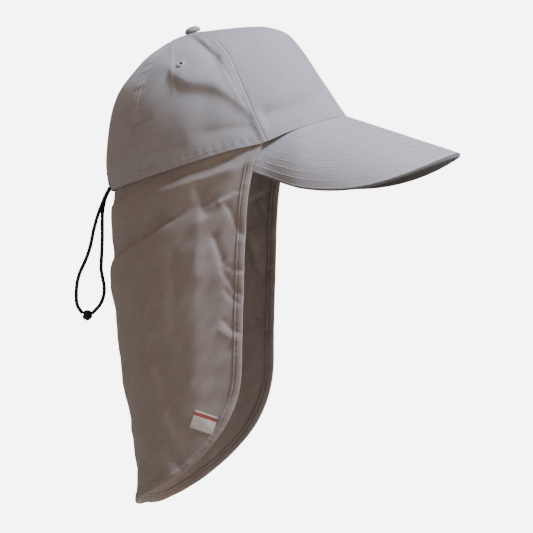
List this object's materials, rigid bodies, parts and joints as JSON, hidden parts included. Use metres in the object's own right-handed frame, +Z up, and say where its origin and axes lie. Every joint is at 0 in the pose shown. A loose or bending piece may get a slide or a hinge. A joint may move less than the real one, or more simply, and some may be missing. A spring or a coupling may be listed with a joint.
{
  "type": "legionnaire cap",
  "caption": "Soft sun cap with a panelled crown, an arched stitched peak, a long neck flap with a bound edge and an elastic cord at the back.",
  "frame": {"origin": "middle of the head opening, halfway along the rim from front to back, where a head would hold the cap", "axes": "+Z up, -Y towards the front of the cap where the peak is, -X towards the wearer's right"},
  "size_m": [0.1702, 0.316, 0.3882],
  "materials": {
    "front_cloth": "matt",
    "crown_cloth": "matt",
    "peak_cloth": "matt",
    "flap_cloth": "matt",
    "binding_cloth": "matt",
    "eyelet_thread": "satin",
    "label_cloth": "satin",
    "cord": "matt"
  },
  "bodies": {
    "root": {"front_panel": "front_cloth", "side_panel_right": "crown_cloth", "side_panel_left": "crown_cloth", "back_panel_right": "crown_cloth", "back_panel_left": "crown_cloth", "button": "front_cloth", "eyelet_right": "eyelet_thread", "eyelet_left": "eyelet_thread", "peak": "peak_cloth", "neck_flap": "flap_cloth", "flap_binding": "binding_cloth", "label": "label_cloth", "cord_tab": "cord", "cord_strand_outer": "cord", "cord_strand_inner": "cord", "cord_knot": "cord"}
  },
  "joints": []
}
